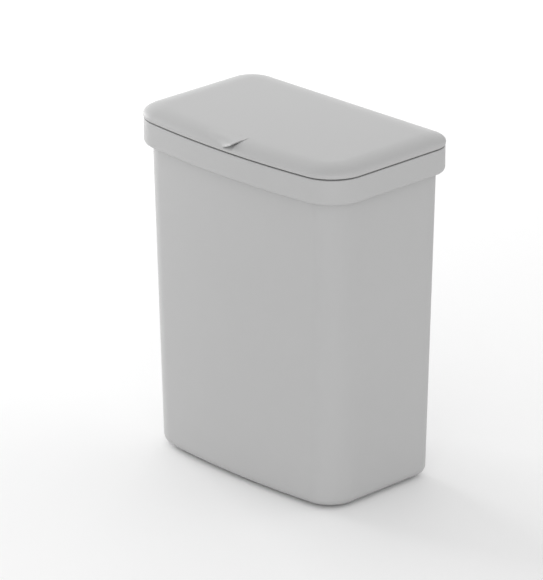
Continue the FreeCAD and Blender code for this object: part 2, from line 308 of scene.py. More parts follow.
def straight_stretch(start, end, steps):
    """Points on a line, the last one left out."""
    share = np.linspace(0.0, 1.0, steps, endpoint=False)[:, None]
    return np.asarray(start) + share * (np.asarray(end) - np.asarray(start))


def outline(base_share=0.0):
    """Plan outline of the collar, with corners as round as a share of the way to the base makes them."""
    rf = FRONT_CORNER_R + BASE_FRONT_EXTRA * base_share
    rb = BACK_CORNER_R + BASE_BACK_EXTRA * base_share
    cx = COLLAR_HALF - rf
    cy = BOW_Y - math.sqrt((BOW_R - rf) ** 2 - cx ** 2)
    lean = math.atan2(cy - BOW_Y, cx)
    bx, by = COLLAR_HALF - rb, BACK_Y - rb
    return np.vstack([
        round_stretch(0, BOW_Y, BOW_R, -math.pi - lean, lean, FRONT_STEPS),
        round_stretch(cx, cy, rf, lean, 0, FRONT_CORNER_STEPS),
        straight_stretch((COLLAR_HALF, cy), (COLLAR_HALF, by), SIDE_STEPS),
        round_stretch(bx, by, rb, 0, math.pi / 2, BACK_CORNER_STEPS),
        straight_stretch((bx, BACK_Y), (-bx, BACK_Y), BACK_STEPS),
        round_stretch(-bx, by, rb, math.pi / 2, math.pi, BACK_CORNER_STEPS),
        straight_stretch((-COLLAR_HALF, by), (-COLLAR_HALF, cy), SIDE_STEPS),
        round_stretch(-cx, cy, rf, math.pi, math.pi - lean, FRONT_CORNER_STEPS),
    ])


print(len(outline()), "points in the outline")

# %% [markdown]
# ## Curves and empty trees
# A geometry tree needs something to start from: here curves for the outline and the profiles, and named
# inputs for sizes and finish. Every tree ends the same way, with its copies made real and its material
# set, because an export knows nothing of instances.

# %% Tree helpers
def curve_object(name, points, closed):
    """Poly curve through points given in millimetres."""
    data = bpy.data.curves.new(name, "CURVE")
    data.dimensions = "3D"
    line = data.splines.new("POLY")
    line.points.add(len(points) - 1)
    for knot, (x, y) in zip(line.points, points):
        knot.co = (x * MM, y * MM, 0.0, 1.0)
    line.use_cyclic_u = closed
    piece = bpy.data.objects.new(name, data)
    bpy.context.scene.collection.objects.link(piece)
    return piece


def new_tree(name, inputs):
    """Geometry tree with named inputs; returns it, a wire for each input and the output node."""
    tree = bpy.data.node_groups.new(name, "GeometryNodeTree")
    for label, kind in inputs.items():
        tree.interface.new_socket(label, in_out="INPUT", socket_type=kind)
    tree.interface.new_socket("Geometry", in_out="OUTPUT", socket_type="NodeSocketGeometry")
    source = tree.nodes.new("NodeGroupInput")
    wires = {label: Wire(tree, source.outputs[label]) for label in inputs}
    return tree, wires, tree.nodes.new("NodeGroupOutput")


def shape_of(given):
    """Geometry of an object that a tree is given."""
    return given.add("GeometryNodeObjectInfo", None, {"Object": given}, "Geometry")


def close_tree(tree, geometry, finish, end):
    """Finish a tree with Realize Instances and Set Material."""
    real = geometry.add("GeometryNodeRealizeInstances", None, {"Geometry": geometry})
    real = real.add("GeometryNodeSetMaterial", None, {"Geometry": real, "Material": finish})
    tree.links.new(real.socket, end.inputs["Geometry"])
    return tree


OUTLINE = curve_object("outline", outline(), True)
BASE_OUTLINE = curve_object("base_outline", outline(base_share=1.0), True)
print("curves", OUTLINE.name, BASE_OUTLINE.name)

# %% [markdown]
# ## A tree that sweeps a profile round the outline
# A moulded ring is a profile carried along a path, which is what Curve to Mesh does. Each profile point
# is an inset and a height. With the path's normals kept level, the profile's X runs outwards and its Y
# runs down, so both are written with a minus sign. One rule more makes the bucket: the further down a
# point is, the more it moves from the collar's outline towards the rounder base outline.

# %% Sweep tree
def sweep_tree():
    """Profile carried along the outline, moving to the base outline further down."""
    tree, given, end = new_tree("profile_round_the_outline", {
        "Outline": "NodeSocketObject", "Base outline": "NodeSocketObject",
        "Profile": "NodeSocketObject", "Rim height": "NodeSocketFloat",
        "Base height": "NodeSocketFloat", "Finish": "NodeSocketMaterial",
    })
    w = given["Outline"]
    path, base, profile = (shape_of(given[label]) for label in ("Outline", "Base outline", "Profile"))
    place = w.add("GeometryNodeInputPosition")
    there = w.add(
        "GeometryNodeSampleIndex", {"data_type": "FLOAT_VECTOR"},
        {"Geometry": base, "Value": place, "Index": w.add("GeometryNodeInputIndex")},
    )
    pull = w.add("ShaderNodeVectorMath", {"operation": "SUBTRACT"}, {0: there, 1: place})
    path = w.add(
        "GeometryNodeStoreNamedAttribute", {"data_type": "FLOAT_VECTOR"},
        {"Geometry": path, "Name": "pull", "Value": pull},
    )
    path = w.add("GeometryNodeSetCurveNormal", {"mode": "Z_UP"}, {"Curve": path})
    skin = w.add("GeometryNodeCurveToMesh", None, {"Curve": path, "Profile Curve": profile})
    height = w.add("ShaderNodeSeparateXYZ", None, {"Vector": place}, "Z")
    share = (given["Rim height"] - height) / (given["Rim height"] - given["Base height"])
    kept = w.add("GeometryNodeInputNamedAttribute", {"data_type": "FLOAT_VECTOR"}, {"Name": "pull"})
    shift = w.add("ShaderNodeVectorMath", {"operation": "SCALE"}, {0: kept, "Scale": share})
    skin = w.add("GeometryNodeSetPosition", None, {"Geometry": skin, "Offset": shift})
    skin = w.add("GeometryNodeRemoveAttribute", None, {"Geometry": skin, "Name": "pull"})
    return close_tree(tree, skin, given["Finish"], end)


SWEEP = sweep_tree()
print("sweep tree with", len(SWEEP.nodes), "nodes")

# %% [markdown]
# ## Running a tree
# A modifier gets its inputs by socket identifier, the result becomes a plain mesh, and the modifier
# goes. We could keep the trees live, but a plain mesh is easier to cut, weld and export.

# %% Running helpers
def new_object(name, mesh):
    """Link a mesh to the scene under a name."""
    piece = bpy.data.objects.new(name, mesh)
    bpy.context.scene.collection.objects.link(piece)
    return piece


def baked(piece):
    """Piece with its modifiers turned into a plain mesh."""
    ready = piece.evaluated_get(bpy.context.evaluated_depsgraph_get())
    mesh = bpy.data.meshes.new_from_object(ready)
    piece.modifiers.clear()
    piece.data = mesh
    return piece


def grow(name, tree, inputs):
    """Object whose mesh is what a geometry tree makes of some inputs."""
    piece = new_object(name, bpy.data.meshes.new(name))
    step = piece.modifiers.new("grow", "NODES")
    step.node_group = tree
    for item in tree.interface.items_tree:
        if item.in_out == "INPUT":
            step[item.identifier] = inputs[item.name]
    return baked(piece)


print("trees can be run")

# %% [markdown]
# ## Closing, softening and welding
# A sweep leaves the middle of a floor or a lid open, and a weld can leave a pinhole. So doubles are
# merged, every open ring is filled with one flat face and all faces are turned outwards. Smooth shading
# then keeps hard edges only where two faces really turn. Welds and cuts are exact Booleans, made one
# tool at a time.

# %% Skin helpers
SMOOTH_ANGLE = math.radians(32)
MERGE_DISTANCE = MM * 1e-3


def tidy_skin(piece):
    """Merge doubles, fill open rings and turn all faces outwards."""
    work = bmesh.new()
    work.from_mesh(piece.data)
    bmesh.ops.remove_doubles(work, verts=work.verts, dist=MERGE_DISTANCE)
    bmesh.ops.holes_fill(work, edges=[e for e in work.edges if e.is_boundary], sides=0)
    bmesh.ops.recalc_face_normals(work, faces=work.faces)
    work.to_mesh(piece.data)
    work.free()
    return piece


def soften(piece, finish):
    """One finish and smooth shading, with hard edges only where two faces really turn."""
    piece.data.materials.clear()
    piece.data.materials.append(finish)
    piece.data.polygons.foreach_set("material_index", [0] * len(piece.data.polygons))
    piece.data.shade_smooth()
    piece.data.set_sharp_from_angle(angle=SMOOTH_ANGLE)
    return piece


def combine(piece, operation, tools):
    """Weld tools to a piece or cut them from it, and delete them."""
    for tool in tools:
        step = piece.modifiers.new(operation.lower(), "BOOLEAN")
        step.operation, step.object, step.solver = operation, tool, "EXACT"
        baked(piece)
        bpy.data.objects.remove(tool)
    return piece


print("skins can be closed, softened and welded")

# %% [markdown]
# ## Profiles
# A mould maker draws a ring as its cut face. Here that is a list of rows, each an inset from the outline
# and a height. Straight walls need few rows, and every rounded edge is part of an ellipse, so one formula
# draws them all. `swept` hands the rows to the sweep tree and closes what comes back.

# %% Profile helpers
def arc_rows(inset, z, across, up, start, end, steps):
    """Profile rows on part of an ellipse; angle 0 points outwards and 90 up."""
    turns = np.radians(np.linspace(start, end, steps + 1))
    return [(inset - across * math.cos(t), z + up * math.sin(t)) for t in turns]


def round_rows(inset, z, radius, start, end, steps):
    """Profile rows on part of a circle."""
    return arc_rows(inset, z, radius, radius, start, end, steps)


def swept(name, rows, finish, closed=False, tapered=False):
    """Closed skin from profile rows of inset and height, carried round the outline."""
    profile = curve_object("profile", [(-inset, -z) for inset, z in rows], closed)
    piece = grow(name, SWEEP, {
        "Outline": OUTLINE, "Base outline": BASE_OUTLINE if tapered else OUTLINE, "Profile": profile,
        "Rim height": RIM_Z * MM, "Base height": BASE_Z * MM, "Finish": finish,
    })
    bpy.data.objects.remove(profile)
    return tidy_skin(piece)


print("profiles can be swept")

# %% [markdown]
# ## Turned pieces on points
# Feet and hinge pins are turned shapes that repeat: a half profile spun round an axis, set on points. A
# second small tree does that. It spins the profile round a circle, and copies it to each point with its
# axis along a direction. Pins face away from the middle, so that their heads are on the outside.

# %% Turning tree
TURN_STEPS = 64
# The profile runs round a circle of this radius, so that much comes off every radius of the profile
CIRCLE_R = 1.0
POLE_MERGE = MM * 1e-2


def turning_tree():
    """Half profile spun round an axis and copied to points, the axis turned to face a direction."""
    tree, given, end = new_tree("turned_pieces_on_points", {
        "Places": "NodeSocketObject", "Profile": "NodeSocketObject", "Steps": "NodeSocketInt",
        "Axis": "NodeSocketVector", "Away from middle": "NodeSocketBool", "Finish": "NodeSocketMaterial",
    })
    w = given["Places"]
    places, profile = (shape_of(given[label]) for label in ("Places", "Profile"))
    circle = w.add(
        "GeometryNodeCurvePrimitiveCircle", None,
        {"Resolution": given["Steps"], "Radius": CIRCLE_R * MM}, "Curve",
    )
    circle = w.add("GeometryNodeSetCurveNormal", {"mode": "Z_UP"}, {"Curve": circle})
    turned = w.add("GeometryNodeCurveToMesh", None, {"Curve": circle, "Profile Curve": profile})
    turned = w.add("GeometryNodeMergeByDistance", None, {"Geometry": turned, "Distance": POLE_MERGE})
    side = w.add("ShaderNodeSeparateXYZ", None, {"Vector": w.add("GeometryNodeInputPosition")}, "X")
    sign = 1.0 - given["Away from middle"] + given["Away from middle"] * w.math("SIGN", side)
    aim = w.add("ShaderNodeVectorMath", {"operation": "SCALE"}, {0: given["Axis"], "Scale": sign})
    turn = w.add("FunctionNodeAlignRotationToVector", {"axis": "Z"}, {"Vector": aim})
    copies = w.add(
        "GeometryNodeInstanceOnPoints", None, {"Points": places, "Instance": turned, "Rotation": turn}
    )
    return close_tree(tree, copies, given["Finish"], end)


TURNING = turning_tree()


def turned_pieces(name, places, half_profile, finish, axis=(0, 0, 1), away=False):
    """Turned shape at places; half profile rows are a radius and a height along the axis."""
    mesh = bpy.data.meshes.new("places")
    mesh.from_pydata([(x * MM, y * MM, z * MM) for x, y, z in places], [], [])
    spots = new_object("places", mesh)
    profile = curve_object("half_profile", [(r - CIRCLE_R, -h) for r, h in half_profile], False)
    piece = grow(name, TURNING, {
        "Places": spots, "Profile": profile, "Steps": TURN_STEPS,
        "Axis": axis, "Away from middle": away, "Finish": finish,
    })
    bpy.data.objects.remove(spots)
    bpy.data.objects.remove(profile)
    return tidy_skin(piece)


print("turning tree with", len(TURNING.nodes), "nodes")

# %% [markdown]
# ## Plates for the hinge
# Lugs, arms and stop heels are flat plates: a side view, pushed out sideways, with its two rims softened
# as a mould would have them. The eye of each plate is round about the hinge axis and its flanks run
# straight from the eye to the root, touching the circle.

# %% Plate helpers
ROUND_STEPS = 56
BEVEL_STEPS = 3


def plate(name, side_view, x0, x1, bevel=0.0):
    """Plate with a closed side view of depth and height points."""
    work = bmesh.new()
    face = work.faces.new([work.verts.new((x0 * MM, y * MM, z * MM)) for y, z in side_view])
    pushed = bmesh.ops.extrude_face_region(work, geom=[face])
    moved = [v for v in pushed["geom"] if isinstance(v, bmesh.types.BMVert)]
    bmesh.ops.translate(work, verts=moved, vec=((x1 - x0) * MM, 0, 0))
    bmesh.ops.recalc_face_normals(work, faces=work.faces)
    if bevel:
        rims = [e for e in work.edges if abs(e.verts[0].co.x - e.verts[1].co.x) < MERGE_DISTANCE]
        bmesh.ops.bevel(
            work, geom=rims, offset=bevel * MM, segments=BEVEL_STEPS, profile=0.5, affect="EDGES"
        )
    mesh = bpy.data.meshes.new(name)
    work.to_mesh(mesh)
    work.free()
    return new_object(name, mesh)


def axis_point(radius, angle):
    """Depth and height on a circle round the hinge axis."""
    return AXIS_Y + radius * math.cos(angle), AXIS_Z + radius * math.sin(angle)


def touch_angle(y, z, radius, side):
    """Angle at which a line from a point touches the circle round the hinge axis."""
    dy, dz = y - AXIS_Y, z - AXIS_Z
    return math.atan2(dz, dy) + side * math.acos(radius / math.hypot(dy, dz))


def eye(low, high, radius):
    """Round end about the hinge axis between the flanks to a low and a high point."""
    start, end = touch_angle(*low, radius, 1), touch_angle(*high, radius, -1)
    while end < start:
        end += 2 * math.pi
    return [axis_point(radius, t) for t in np.linspace(start, end, ROUND_STEPS)]


def bore(radius, reach):
    """Round bar through both hinges, for cutting their holes."""
    turns = np.linspace(0, 2 * math.pi, ROUND_STEPS, endpoint=False)
    return plate("bore", [axis_point(radius, t) for t in turns], -reach, reach)


print("plates ready")

# %% [markdown]
# ## The bucket
# A tapered tub: a soft radius round its foot, straight walls that open by about a degree and a plain rim
# that the collar hides. It is moulded in one shot, so inside and outside are one skin, and one profile
# from the base over the rim to the floor gives both. Underneath are four shallow seats for the feet and,
# in the middle, the little stub where the plastic was let in. Those are turned shapes, cut and welded.

# %% Bucket profile
BUCKET_WALL, BUCKET_FLOOR = 2.5, 3.0
BASE_EDGE_R, INNER_FLOOR_R, RIM_EDGE_R = 9.0, 6.5, 0.5
RIM_INSET = COLLAR_HALF - bucket_high.x
DRAFT_INSET = 5.0
WALL_ROWS = 24


def wall_inset(z):
    """Inset of the bucket's outside at a height."""
    return RIM_INSET + DRAFT_INSET * (RIM_Z - z) / (RIM_Z - BASE_Z)


def wall_rows(start, end, inside):
    """Rows along the straight wall between two heights."""
    return [(wall_inset(z) + inside, z) for z in np.linspace(start, end, WALL_ROWS)]


def bucket_rows():
    """Profile from the base's middle, up the outside, over the rim and down to the floor."""
    floor, low, high = BASE_Z + BUCKET_FLOOR, BASE_Z + BASE_EDGE_R, RIM_Z - RIM_EDGE_R
    inner_low = floor + INNER_FLOOR_R
    rows = round_rows(wall_inset(low) + BASE_EDGE_R, low, BASE_EDGE_R, -90, 0, steps=10)
    rows += wall_rows(low, high, 0.0)[1:]
    rows += round_rows(RIM_INSET + RIM_EDGE_R, high, RIM_EDGE_R, 0, 90, steps=4)[1:]
    rows += round_rows(RIM_INSET + BUCKET_WALL - RIM_EDGE_R, high, RIM_EDGE_R, 90, 180, steps=4)
    rows += wall_rows(high, inner_low, BUCKET_WALL)[1:]
    inner = wall_inset(inner_low) + BUCKET_WALL + INNER_FLOOR_R
    return rows + round_rows(inner, inner_low, INNER_FLOOR_R, 0, -90, steps=12)[1:]


print(len(bucket_rows()), "rows in the bucket's profile")

# %% Bucket
FEET = ("foot_front_left", "foot_front_right", "foot_rear_left", "foot_rear_right")
FOOT_CENTRES = [sum(box_mm(node), Vector()) / 2 for node in FEET]
FOOT_R = (box_mm(FEET[0])[1].x - box_mm(FEET[0])[0].x) / 2
FOOT_TOP = box_mm(FEET[0])[1].z
SEAT_PLAY = 0.05
# Half profiles under the base, as radius and height; a cutting tool starts below the face that it cuts
CUT_START = -1.0
DISH = [(0, CUT_START), (9.0, CUT_START), (8.5, 0.3), (8.0, 0.6), (0, 0.6)]
STUB = [(0, -0.1), (1.6, -0.1), (2.0, 0.1), (2.3, 0.6), (2.3, 1.2), (0, 1.2)]


def make_bucket():
    """Bucket with the seats of its feet, and the moulding stub in its dish."""
    body = swept("bucket_body", bucket_rows(), bucket_finish, tapered=True)
    seat_r, seat_depth = FOOT_R + SEAT_PLAY, FOOT_TOP - BASE_Z
    seat = [(0, CUT_START), (seat_r, CUT_START), (seat_r, seat_depth), (0, seat_depth)]
    corners = [(c.x, c.y, BASE_Z) for c in FOOT_CENTRES]
    middle = [(0.0, (FRONT_Y + BACK_Y) / 2, BASE_Z)]
    seats = turned_pieces("seats", corners, seat, bucket_finish)
    dish = turned_pieces("dish", middle, DISH, bucket_finish)
    stub = turned_pieces("stub", middle, STUB, bucket_finish)
    combine(body, "DIFFERENCE", [seats, dish])
    combine(body, "UNION", [stub])
    return soften(body, bucket_finish)


bucket = make_bucket()
print("bucket", len(bucket.data.polygons), "faces")

# %% [markdown]
# ## The collar frame
# It hangs over the rim like an upside-down gutter: a tall outer band whose lower edge curls in towards
# the wall, a flat top that the lid closes on and an inner skirt that finds the bucket's mouth. The
# profile is one closed loop, so the sweep joins back on itself. Four lugs are welded to its back and
# bored in one go, so that both hinges share one true axis.

# %% Collar profile
COLLAR_WALL, COLLAR_EDGE_R, COLLAR_TOP_R, MOUTH_EDGE_R = 2.4, 4.2, 0.8, 0.6
HOOK_CLEARANCE, SKIRT_CLEARANCE, SKIRT_WALL, SKIRT_LENGTH = 0.7, 0.4, 2.0, 18.8
BAND_ROWS = 6
SKIRT_LOW = RIM_Z - SKIRT_LENGTH
SKIRT_INSET = wall_inset(SKIRT_LOW) + BUCKET_WALL + SKIRT_CLEARANCE
MOUTH_INSET = SKIRT_INSET + SKIRT_WALL
HOOK_INSET = RIM_INSET - HOOK_CLEARANCE


def collar_rows():
    """Closed profile: up the outside, over the top, down the skirt and back through the gutter."""
    low, high = COLLAR_BOTTOM_Z + COLLAR_EDGE_R, COLLAR_TOP_Z - COLLAR_TOP_R
    inner_r, channel_low = COLLAR_EDGE_R - COLLAR_WALL, COLLAR_BOTTOM_Z + COLLAR_WALL
    mouth, mouth_z = MOUTH_INSET - MOUTH_EDGE_R, COLLAR_TOP_Z - MOUTH_EDGE_R
    rows = [(HOOK_INSET, COLLAR_BOTTOM_Z)]
    rows += round_rows(COLLAR_EDGE_R, low, COLLAR_EDGE_R, -90, 0, steps=12)
    rows += [(0.0, z) for z in np.linspace(low, high, BAND_ROWS)[1:]]
    rows += round_rows(COLLAR_TOP_R, high, COLLAR_TOP_R, 0, 90, steps=6)[1:]
    rows += round_rows(mouth, mouth_z, MOUTH_EDGE_R, 90, 180, steps=6)
    rows += [(MOUTH_INSET, SKIRT_LOW), (SKIRT_INSET, SKIRT_LOW)]
    rows += [(SKIRT_INSET, RIM_Z), (COLLAR_WALL, RIM_Z)]
    rows += round_rows(COLLAR_EDGE_R, channel_low + inner_r, inner_r, 0, -90, steps=6)
    return rows + [(HOOK_INSET, channel_low)]


print(len(collar_rows()), "rows in the collar's profile")

# %% Collar frame with its hinge lugs
HINGE_SPACING, KNUCKLE_WIDTH, KNUCKLE_GAP = 110.0, 18.0, 0.4
LUG_R, LUG_THICKNESS, LUG_BEVEL = 7.0, 4.0, 0.5
LUG_ROOT_DROP, LUG_ROOT_TOP, LUG_ROOT_SINK = 16.0, 2.0, 1.2
PIN_R, PIN_SEAT, PIN_PLAY = 2.5, 0.02, 0.06
HINGES = (-HINGE_SPACING / 2, HINGE_SPACING / 2)
HINGE_REACH = HINGE_SPACING / 2 + KNUCKLE_WIDTH


def lug_view():
    """Side view of one lug, its root sunk a little into the collar's back."""
    root = BACK_Y - LUG_ROOT_SINK
    low, high = (root, AXIS_Z - LUG_ROOT_DROP / 2), (root, COLLAR_TOP_Z - LUG_ROOT_TOP)
    return [low] + eye(low, high, LUG_R) + [high]


def make_collar():
    """Collar ring with four lugs welded on and bored."""
    ring = swept("collar_frame", collar_rows(), frame_finish, closed=True)
    inner = KNUCKLE_WIDTH / 2 + KNUCKLE_GAP
    starts = [c + s for c in HINGES for s in (-inner - LUG_THICKNESS, inner)]
    combine(ring, "UNION", [plate("lug", lug_view(), x, x + LUG_THICKNESS, LUG_BEVEL) for x in starts])
    combine(ring, "DIFFERENCE", [bore(PIN_R + PIN_SEAT, HINGE_REACH)])
    return soften(ring, frame_finish)


collar = make_collar()
print("collar", len(collar.data.polygons), "faces")

# %% [markdown]
# ## The lid's skin
# A low upright side, almost flush with the collar, then a pillow that rises as a quarter ellipse to a
# flat top. Because the side stands a hair over the collar, the joint reads as one dark line. The skin is
# a sweep like the collar. The room inside it is a second, smaller pillow, which is cut out last, when
# everything that is welded to the lid is in place.

# %% Lid skin
LIP_HEIGHT, LIP_EDGE_R, PILLOW_EDGE, LID_WALL = 2.4, 1.0, 22.5, 2.4
SEAM_GAP, SNAP_BEAD = 1.2, 0.8
PILLOW_STEPS = 26
LID_LOW_Z = COLLAR_TOP_Z + SEAM_GAP
LIP_TOP_Z = LID_LOW_Z + LIP_HEIGHT
PILLOW_INSET = -LIP_PROUD
CAVITY_INSET = PILLOW_INSET + LID_WALL


def pillow_rows(inset, width, low, high):
    """Quarter ellipse from a steep edge up to the flat top."""
    return arc_rows(inset + width, low, width, high - low, 0, 90, PILLOW_STEPS)


def lid_rows():
    """Profile from the flat top, down the pillow and its upright side to the flat underside."""
    rows = pillow_rows(PILLOW_INSET, PILLOW_EDGE, LIP_TOP_Z, LID_TOP_Z)[::-1]
    edge, edge_z = PILLOW_INSET + LIP_EDGE_R, LID_LOW_Z + LIP_EDGE_R
    return rows + round_rows(edge, edge_z, LIP_EDGE_R, 0, -90, steps=8)


def room_rows():
    """Profile of the room inside the lid: past the snap bead, then a smaller pillow."""
    bead = CAVITY_INSET + SNAP_BEAD
    rows = [(bead, LID_LOW_Z - LIP_HEIGHT), (bead, liner_low.z), (CAVITY_INSET, liner_low.z)]
    width = PILLOW_EDGE - LID_WALL
    return rows + pillow_rows(CAVITY_INSET, width, liner_high.z, LID_TOP_Z - LID_WALL)


lid = swept("lid_cover", lid_rows(), lid_finish)
print("lid skin", len(lid.data.polygons), "faces")

# %% [markdown]
# ## The finger flap
# In the middle of the front the pillow's edge lifts into a thin flap that ends almost level with the
# top, with a pocket under its high end: the finger pull. Its side view changes all along, so a sweep
# can't make it. Instead we write the side view at many stations and loft through them. The same formula,
# lowered by the flap's thickness, gives the tool that cuts the pocket, so the flap is equally thick all
# over. A shallow hollow under and beside the high end lets a fingertip in.

# %% Side views of the flap
FLAP_START_X, FLAP_LIFT_X, FLAP_END_X = -34.0, -10.0, 10.0
FLAP_RISE, FLAP_CURL, FLAP_SWELL = 5.8, 1.8, (2.8, 8.0)
FLAP_THICKNESS, FLAP_SINK = 0.9, 0.1
FLAP_LENGTH = PILLOW_INSET + PILLOW_EDGE
FLAP_STEPS = 18
RELIEF_WIDTH, RELIEF_DEPTH, RELIEF_FADE = 1.2, 1.0, 1.15
RELIEF_SHARES = (0.1, 0.25, 0.5, 0.75)
# Tools stay this far off the lid's own faces, because a Boolean dislikes faces that coincide
CLEAR = 0.05
# The hollow's tool reaches this far past the lid
TOOL_OVER = 5.0


def front_edge(x):
    """Depth position of the collar's bowed front."""
    return BOW_Y - math.sqrt(BOW_R ** 2 - x ** 2)


def flap_ring(x, low, drop=0.0, overhang=0.0, rear_wall=0.0):
    """Side view of the flap at one station: level behind, then curving down to its front edge."""
    share = (x - FLAP_START_X) / (FLAP_END_X - FLAP_START_X)
    swell = FLAP_SWELL[0] + (FLAP_SWELL[1] - FLAP_SWELL[0]) * share
    lift = max(0.0, x - FLAP_LIFT_X) / (FLAP_END_X - FLAP_LIFT_X)
    fall = LID_TOP_Z - LIP_TOP_Z - FLAP_RISE * lift ** FLAP_CURL
    front, top, rear = front_edge(x), LID_TOP_Z - FLAP_SINK - drop, FLAP_LENGTH - rear_wall
    depths = np.linspace(rear, 0.0, FLAP_STEPS + 1)
    ring = [(x, front + d, top - fall * (1 - d / FLAP_LENGTH) ** swell) for d in depths]
    if overhang > 0:
        ring.append((x, front - overhang, ring[-1][2]))
    return ring + [(x, front - overhang, low), (x, front + rear, low)]


def relief_view():
    """Side view of the hollow under the flap, its floor a little under the pillow."""
    front, floor_z, above = front_edge(FLAP_END_X), LIP_TOP_Z + 2 * CLEAR, LID_TOP_Z + TOOL_OVER
    floor = [(front - TOOL_OVER, floor_z), (front + PILLOW_INSET, floor_z)]
    for share in RELIEF_SHARES:
        pillow_z = LIP_TOP_Z + (LID_TOP_Z - LIP_TOP_Z) * math.sqrt(1 - (1 - share) ** 2)
        depth = RELIEF_DEPTH * (RELIEF_FADE - share)
        floor.append((front + PILLOW_INSET + PILLOW_EDGE * share, pillow_z - depth))
    rear = front + FLAP_LENGTH
    return floor + [(rear, LID_TOP_Z), (rear, above), (front - TOOL_OVER, above)]


print(len(flap_ring(FLAP_END_X, LIP_TOP_Z)), "points in a side view of the flap")

# %% Finger flap
FLAP_STATIONS = 42
POCKET_LENGTH, POCKET_REAR_WALL = 9.0, 2.0


def loft(name, rings):
    """Closed solid through rings of points."""
    size, last = len(rings[0]), len(rings[0]) * (len(rings) - 1)
    faces = [list(range(size)), list(range(last, last + size))[::-1]]
    for a in range(0, last, size):
        b = a + size
        faces += [(a + k, a + (k + 1) % size, b + (k + 1) % size, b + k) for k in range(size)]
    mesh = bpy.data.meshes.new(name)
    mesh.from_pydata([tuple(v * MM for v in p) for ring in rings for p in ring], [], faces)
    piece = tidy_skin(new_object(name, mesh))
    piece.modifiers.new("flat faces", "TRIANGULATE")
    return baked(piece)


def make_flap():
    """Finger flap with the pocket under its high end cut out."""
    stations = np.linspace(FLAP_START_X, FLAP_END_X, FLAP_STATIONS)
    flap = loft("flap", [flap_ring(x, LIP_TOP_Z - LIP_HEIGHT / 2) for x in stations])
    stations = np.linspace(FLAP_END_X - POCKET_LENGTH, FLAP_END_X + FLAP_THICKNESS, FLAP_STATIONS)
    pocket = loft("pocket", [
        flap_ring(x, LIP_TOP_Z + CLEAR, FLAP_THICKNESS, LIP_PROUD, POCKET_REAR_WALL) for x in stations
    ])
    return combine(flap, "DIFFERENCE", [pocket])


hollow = plate("hollow", relief_view(), FLAP_END_X - POCKET_LENGTH - CLEAR, FLAP_END_X + RELIEF_WIDTH)
combine(lid, "DIFFERENCE", [hollow])
combine(lid, "UNION", [make_flap()])
print("lid with its flap", len(lid.data.polygons), "faces")

# %% [markdown]
# ## The lid's hinge arms
# At the back two arms reach from the lid's side down to the pins. Each is a plate as wide as the knuckle:
# it leaves the lid level, dips to the pin and wraps it. The heel is a short bar from the axis, turned by
# the opening angle, so that it meets the collar's back exactly when the lid stands open. Both are welded
# on before the room inside is cut, so that no stump of an arm is left in it.

# %% Lid arms and heels
ARM_CLEARANCE, ARM_ROOT_INSET, ARM_BEVEL, KNUCKLE_R = 0.6, 5.0, 0.4, 6.4
HEEL_WIDTH, HEEL_GAP = 5.0, 0.3


def arm_view():
    """Side view of a hinge arm, from the lid's back edge to the knuckle."""
    near, root = BACK_Y + ARM_CLEARANCE, BACK_Y - ARM_ROOT_INSET
    low, high = (near, LID_LOW_Z + CLEAR), (near, LIP_TOP_Z - CLEAR)
    return [(root, low[1]), low] + eye(low, high, KNUCKLE_R) + [high, (root, high[1])]


def heel_view():
    """Side view of the stop heel, pointing at the collar's back once the lid is open."""
    reach, half = AXIS_Y - BACK_Y - HEEL_GAP, HEEL_WIDTH / 2
    turn = math.radians(hinge["range_deg"][1])
    corners = ((0, -half), (-reach, -half), (-reach, half), (0, half))
    c, s = math.cos(turn), math.sin(turn)
    return [(AXIS_Y + y * c - z * s, AXIS_Z + y * s + z * c) for y, z in corners]


def finish_lid(cover):
    """Lid with its arms and heels welded on, hollowed, and the knuckles bored."""
    arm, heel = KNUCKLE_WIDTH / 2, KNUCKLE_WIDTH / 2 - CLEAR
    for c in HINGES:
        combine(cover, "UNION", [
            plate("arm", arm_view(), c - arm, c + arm, ARM_BEVEL),
            plate("heel", heel_view(), c - heel, c + heel, ARM_BEVEL),
        ])
    room = swept("room", room_rows(), lid_finish)
    combine(cover, "DIFFERENCE", [room, bore(PIN_R + PIN_PLAY, HINGE_REACH)])
    return soften(tidy_skin(cover), lid_finish)


finish_lid(lid)
print("lid", len(lid.data.polygons), "faces")

# %% [markdown]
# ## Liner and seal
# Under the pillow a flat panel closes the lid's hollow. It has a groove near its edge for the seal and a
# shallow pressed field in the middle that keeps it from drumming. The seal is a soft bulb with a square
# foot in the groove. Both follow the outline, so they are again profiles for the sweep: an open one for
# the panel, whose two middles are filled, and a closed one for the ring.

# %% Liner and seal
LINER_GAP, LINER_EDGE_R = 0.3, 0.4
FIELD_INSET, FIELD_SLOPE, FIELD_RISE, FIELD_STEPS = 13.0, 3.0, 0.6, 8
SEAL_INSET, SEAL_WIDTH, SEAL_FIT, SEAL_NECK = 5.0, 4.0, 0.05, 0.1


def liner_rows():
    """Profile from the hidden top face, round the edge and through the groove to the pressed field."""
    inset, r = CAVITY_INSET + LINER_GAP + LINER_EDGE_R, LINER_EDGE_R
    low, high = liner_low.z, liner_high.z
    groove, groove_end, groove_top = SEAL_INSET, SEAL_INSET + SEAL_WIDTH, seal_high.z
    rows = round_rows(inset, high - r, r, 90, 0, steps=4) + round_rows(inset, low + r, r, 0, -90, steps=4)
    rows += [(groove, low), (groove, groove_top), (groove_end, groove_top), (groove_end, low)]
    rows += [(FIELD_INSET, low)]
    ramp = np.linspace(0, 1, FIELD_STEPS + 1)[1:]
    return rows + [(FIELD_INSET + FIELD_SLOPE * t, low + FIELD_RISE * t * t * (3 - 2 * t)) for t in ramp]


